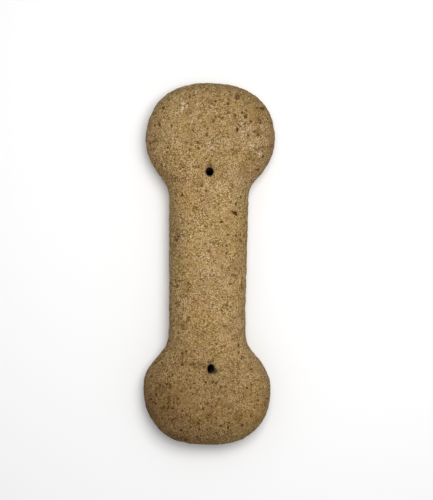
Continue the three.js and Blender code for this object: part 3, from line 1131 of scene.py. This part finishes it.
def crust_material(piece, shape, colours):
    """Dry baked dough: pale meal in toasted dough, with pores, bran flecks and dry flour."""
    material = bpy.data.materials.new("baked_crust")
    material.use_nodes = True
    tree = material.node_tree
    tree.nodes.clear()
    place = tree.nodes.new("ShaderNodeTexCoord").outputs["Object"]
    top = max(corner.co.z for corner in piece.data.vertices)
    fine = crumbs(tree, place, shape.crumb_size)
    tone = crust_tone(tree, place, shape, fine)
    golden = marks(tree, place, GOLDEN_PATCHES, wander=1.2 * MM, core=0.0)
    smooth = maths(tree, "MULTIPLY", pressed(tree, place), PRESSED_STRENGTH)
    layers = (
        (golden, colours.golden, "MULTIPLY"),
        (dry_flour(tree, place, fine), colours.flour, "MIX"),
        (rusty_patches(tree, place, tone), colours.rust, "MULTIPLY"),
        (bran_flecks(tree, place, tone), colours.bran, "MIX"),
        # Pressed dough, partly painted shade in its dents
        (smooth, colours.pressed, "MIX"),
        # Painted shade in the pores and pits, and the dark specks
        (shaded_pores_and_specks(tree, place, shape, fine), colours.pore, "MIX"),
        # Painted shade and real toasting: darker towards the knobs and the lower left
        (browning_and_shade(tree, place), colours.toasting_and_shade, "MULTIPLY"),
        # Painted shade low down on the rolled edge, more beside the shaft's left
        (painted_edge_shade(tree, place), colours.edge, "MULTIPLY"),
        # Painted shade on the torn dough beside the docking holes
        (fade(tree, torn(tree, place), 0.0, 0.25), colours.torn, "MIX"),
        # Painted shade deep inside the docking holes
        (painted_hole_shade(tree, place, top), colours.hole, "MIX"),
    )
    colour = meal_in_dough(tree, place, tone, fine, colours)
    for share, layer, blend in layers:
        colour = mixed(tree, share, colour, opaque(layer), blend)

    bump = add_node(
        tree,
        "ShaderNodeBump",
        {"Height": noise(tree, place, **FINE_BUMPS), "Strength": 0.6, "Distance": 0.12 * MM},
    )
    roughness = ramp(
        tree,
        tone,
        0.3,
        0.7,
        start=colours.roughness + ROUGHNESS_SWING,
        end=colours.roughness - ROUGHNESS_SWING,
    )
    shader = add_node(
        tree,
        "ShaderNodeBsdfPrincipled",
        {
            "Base Color": colour,
            "Roughness": roughness,
            "Normal": bump.outputs[0],
            "Specular IOR Level": 0.04,
        },
    )
    add_node(tree, "ShaderNodeOutputMaterial", {"Surface": shader.outputs[0]})
    return material


def lay_table(stage):
    """A wide pale plane, just where the underside rests."""
    bpy.ops.mesh.primitive_plane_add(size=TABLE_SIZE, location=(0, 0, 0))
    table = bpy.context.object
    table.name = "table"
    surface = bpy.data.materials.new("pale_table")
    surface.use_nodes = True
    shader = surface.node_tree.nodes["Principled BSDF"]
    shader.inputs["Base Color"].default_value = opaque(stage.table)
    shader.inputs["Roughness"].default_value = 0.8
    shader.inputs["Specular IOR Level"].default_value = 0.2
    table.data.materials.append(surface)


def light_window(stage):
    """A broad soft light from the upper right, aimed at the biscuit."""
    bpy.ops.object.light_add(type="AREA", location=WINDOW_PLACE)
    window = bpy.context.object
    window.name = "window_light"
    window.data.shape = "RECTANGLE"
    window.data.size = WINDOW_SIZE
    window.data.size_y = WINDOW_SIZE
    window.visible_camera = False
    window.data.energy = stage.window_power
    window.rotation_euler = (-window.location).to_track_quat("-Z", "Y").to_euler()


def light_room(scene, stage):
    """Even light from all around, and plain colours in the picture."""
    world = bpy.data.worlds.new("room")
    world.use_nodes = True
    background = world.node_tree.nodes["Background"]
    background.inputs["Color"].default_value = opaque((1, 1, 1))
    background.inputs["Strength"].default_value = stage.sky_strength
    scene.world = world
    scene.view_settings.view_transform = "Standard"
    scene.view_settings.look = "None"


def place_camera(scene, stage):
    """A camera that looks straight down on the biscuit."""
    bpy.ops.object.camera_add(
        location=(*CAMERA_OFFSET, stage.camera_height),
        rotation=(0, 0, stage.camera_turn),
    )
    camera = bpy.context.object
    camera.name = "camera_over_table"
    camera.data.sensor_fit = "VERTICAL"
    camera.data.sensor_height = SENSOR_HEIGHT
    distance = stage.camera_height - stage.widest_level
    camera.data.lens = SENSOR_HEIGHT * distance / stage.frame_height
    scene.camera = camera


class BISCUIT_OT_shape_dough(bpy.types.Operator):
    """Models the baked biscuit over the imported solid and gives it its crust"""

    bl_idname = "biscuit.shape_dough"
    bl_label = "Shape the Dough"

    def execute(self, context):
        shape = context.scene.biscuit_shape
        form = merged_copy(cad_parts[CAD_NODE])
        piece = model_cage(shape)
        subdivide_smoothly(piece, CAGE_LEVELS)
        fit_to(piece, form)
        even_out(piece)
        fit_to(piece, form)
        for hole in DOCKING_HOLES:
            open_docking_hole(piece, hole)
        subdivide_smoothly(piece, SKIN_LEVELS)
        bake_relief(piece, shape)
        bpy.data.objects.remove(form)
        bpy.ops.object.shade_smooth()
        piece.data.materials.append(
            crust_material(piece, shape, context.scene.crust_colours)
        )
        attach(piece, "root")
        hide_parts(CAD_NODE)
        return {"FINISHED"}


class BISCUIT_OT_set_stage(bpy.types.Operator):
    """Lays the table, and sets the soft lights and the camera over it"""

    bl_idname = "biscuit.set_stage"
    bl_label = "Set the Stage"

    def execute(self, context):
        stage = context.scene.studio_stage
        deselect_all()
        lay_table(stage)
        light_window(stage)
        light_room(context.scene, stage)
        place_camera(context.scene, stage)
        return {"FINISHED"}


class BISCUIT_PT_sidebar(bpy.types.Panel):
    """Lists the biscuit's operators and settings"""

    bl_label = "Bone Biscuit"
    bl_space_type = "VIEW_3D"
    bl_region_type = "UI"
    bl_category = "Biscuit"

    def draw(self, context):
        for operator, group in (
            (BISCUIT_OT_shape_dough, "biscuit_shape"),
            (None, "crust_colours"),
            (BISCUIT_OT_set_stage, "studio_stage"),
        ):
            box = self.layout.box()
            if operator:
                box.operator(operator.bl_idname)
            settings = getattr(context.scene, group)
            for name in settings.__annotations__:
                box.prop(settings, name)


CLASSES = (
    BiscuitShape,
    CrustColours,
    StudioStage,
    BISCUIT_OT_shape_dough,
    BISCUIT_OT_set_stage,
    BISCUIT_PT_sidebar,
)


def register():
    for item in CLASSES:
        bpy.utils.register_class(item)
    scene = bpy.types.Scene
    scene.biscuit_shape = bpy.props.PointerProperty(type=BiscuitShape)
    scene.crust_colours = bpy.props.PointerProperty(type=CrustColours)
    scene.studio_stage = bpy.props.PointerProperty(type=StudioStage)


def unregister():
    for name in ("biscuit_shape", "crust_colours", "studio_stage"):
        delattr(bpy.types.Scene, name)
    for item in reversed(CLASSES):
        bpy.utils.unregister_class(item)


def main():
    register()
    bpy.ops.biscuit.shape_dough()
    bpy.ops.biscuit.set_stage()


if __name__ == "__main__":
    main()
